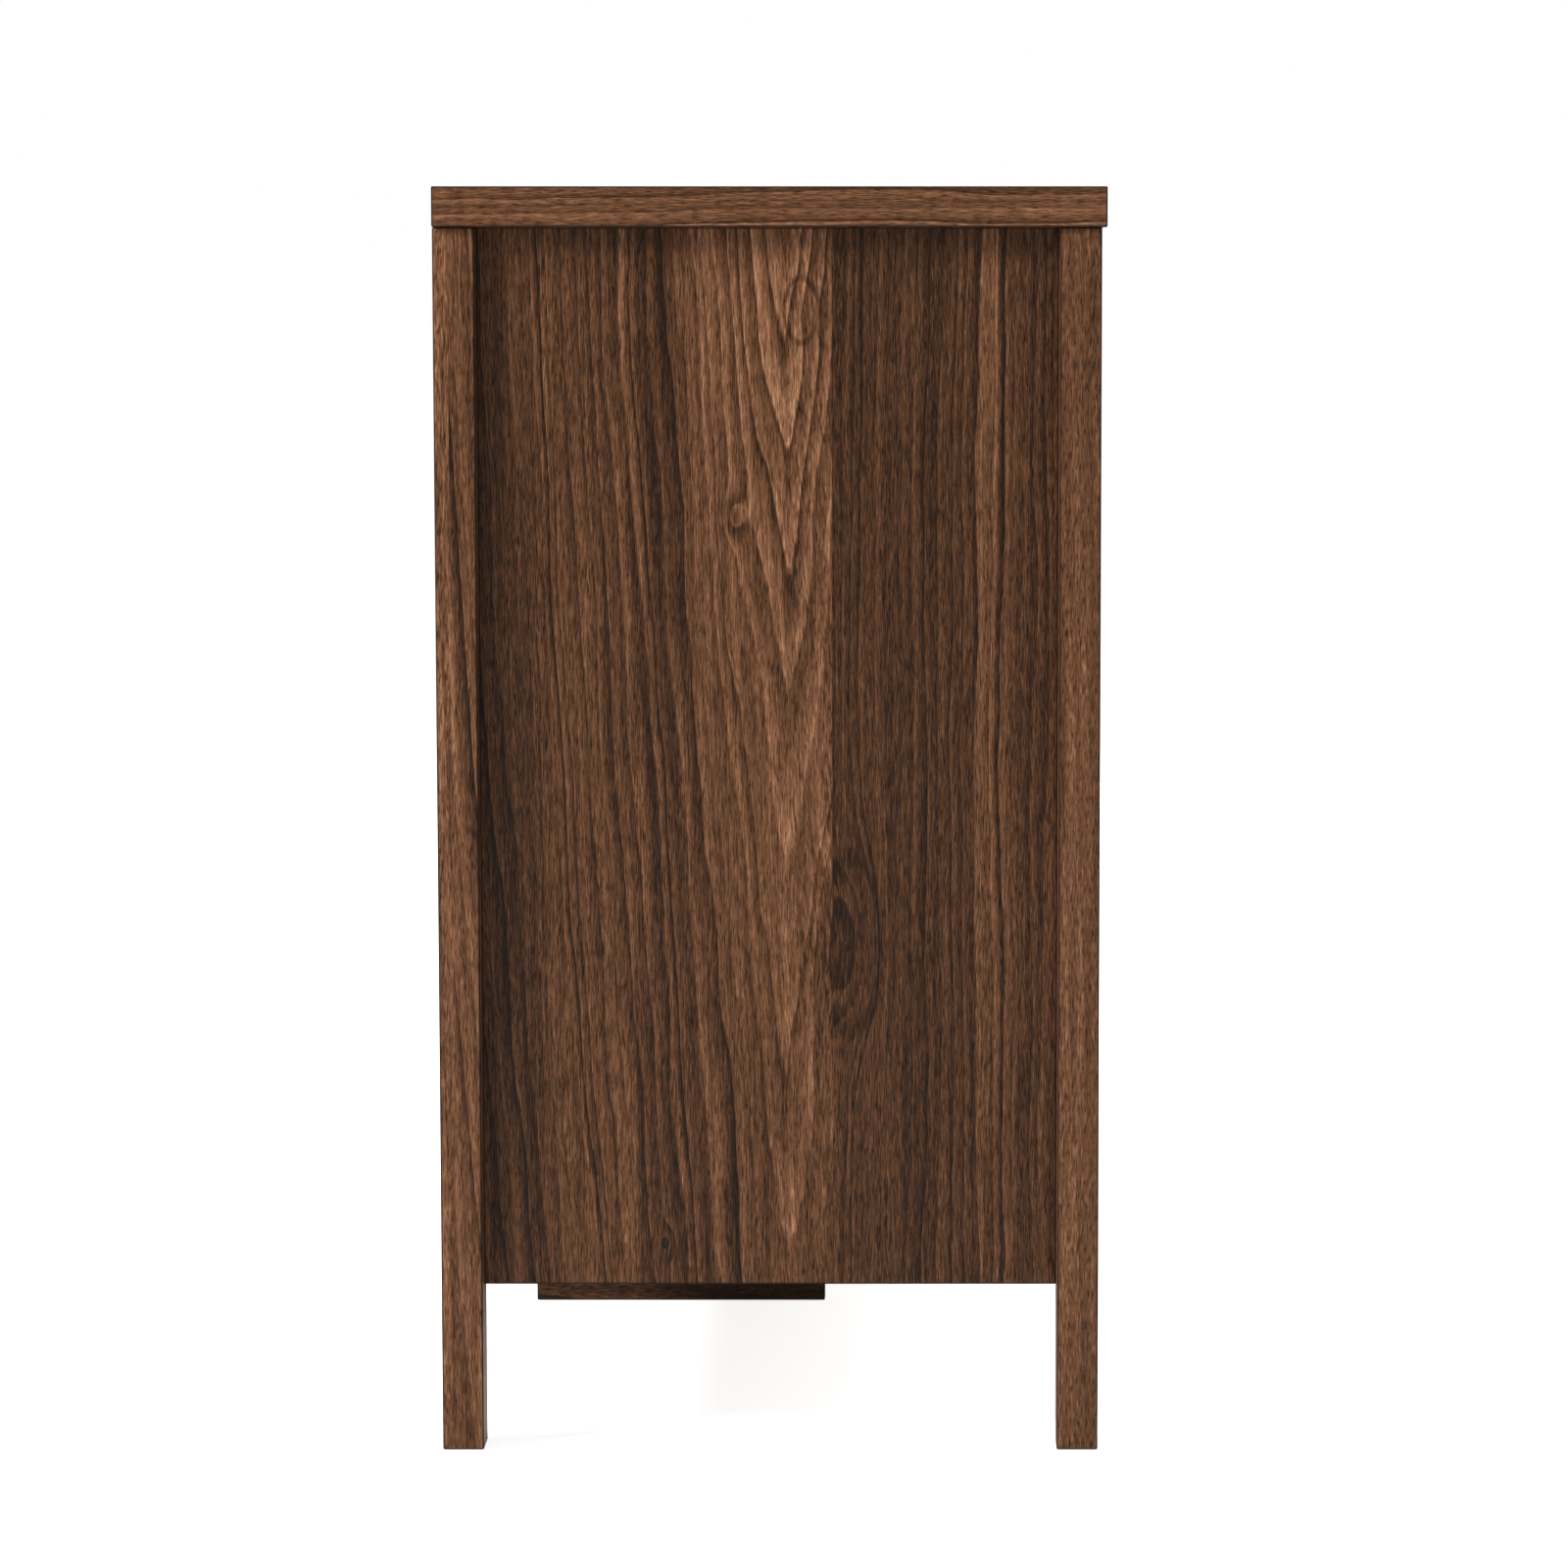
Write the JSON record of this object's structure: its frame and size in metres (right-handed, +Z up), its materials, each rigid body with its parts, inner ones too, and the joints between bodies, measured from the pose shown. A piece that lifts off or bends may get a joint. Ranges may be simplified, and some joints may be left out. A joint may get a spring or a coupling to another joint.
{
  "type": "shoe cabinet",
  "caption": "Low shoe cabinet on square legs, with a thick top board, set-back side panels, hinged inset doors with a shared round finger hole, and adjustable shelves.",
  "frame": {"origin": "on the floor, under the middle of the top board's outline", "axes": "+X along the width, +Y from the doors to the back, +Z up; the doors face -Y"},
  "size_m": [0.8, 0.4, 0.762],
  "materials": {
    "walnut_laminate": "satin walnut-grain laminate on particle board",
    "hardboard": "brown-faced hardboard, matt",
    "beech": "fluted beech, raw",
    "zinc_steel": "zinc-plated steel",
    "die_cast_zinc": "die-cast zinc",
    "bright_steel": "bright steel pin",
    "brown_plastic": "brown moulded plastic",
    "white_nylon": "natural nylon",
    "ferrite_magnet": "ferrite"
  },
  "bodies": {
    "carcass": {"back_joint_strip": "brown_plastic", "back_panel_left": "hardboard", "back_panel_right": "hardboard", "bottom_panel": "walnut_laminate", "cam_bolts": "zinc_steel", "cam_covers": "brown_plastic", "cam_locks": "die_cast_zinc", "carcass_dowels": "beech", "catch_magnets": "ferrite_magnet", "catch_pole_plates": "zinc_steel", "catch_screws": "zinc_steel", "centre_partition": "walnut_laminate", "centre_support_leg": "walnut_laminate", "leg_dowels": "beech", "leg_front_left": "walnut_laminate", "leg_front_right": "walnut_laminate", "leg_rear_left": "walnut_laminate", "leg_rear_right": "walnut_laminate", "magnet_catch_left": "brown_plastic", "magnet_catch_right": "brown_plastic", "pivot_bushes": "white_nylon", "shelf_left_1": "walnut_laminate", "shelf_left_2": "walnut_laminate", "shelf_left_3": "walnut_laminate", "shelf_pins": "zinc_steel", "shelf_right_1": "walnut_laminate", "shelf_right_2": "walnut_laminate", "shelf_right_3": "walnut_laminate", "side_panel_left": "walnut_laminate", "side_panel_right": "walnut_laminate", "support_screws": "zinc_steel", "top_board": "walnut_laminate"},
    "door_left": {"door_left": "walnut_laminate", "pivot_pins_left": "bright_steel", "strike_plate_left": "zinc_steel", "strike_screws_left": "zinc_steel"},
    "door_right": {"door_right": "walnut_laminate", "pivot_pins_right": "bright_steel", "strike_plate_right": "zinc_steel", "strike_screws_right": "zinc_steel"}
  },
  "joints": [
    {"name": "door_left_hinge", "type": "hinge", "parent": "carcass", "child": "door_left", "pos_m": [-0.361, -0.1895, 0.4265], "axis": [0, 0, -1], "range_deg": [0, 105]},
    {"name": "door_right_hinge", "type": "hinge", "parent": "carcass", "child": "door_right", "pos_m": [0.361, -0.1895, 0.4265], "axis": [0, 0, 1], "range_deg": [0, 105]}
  ]
}
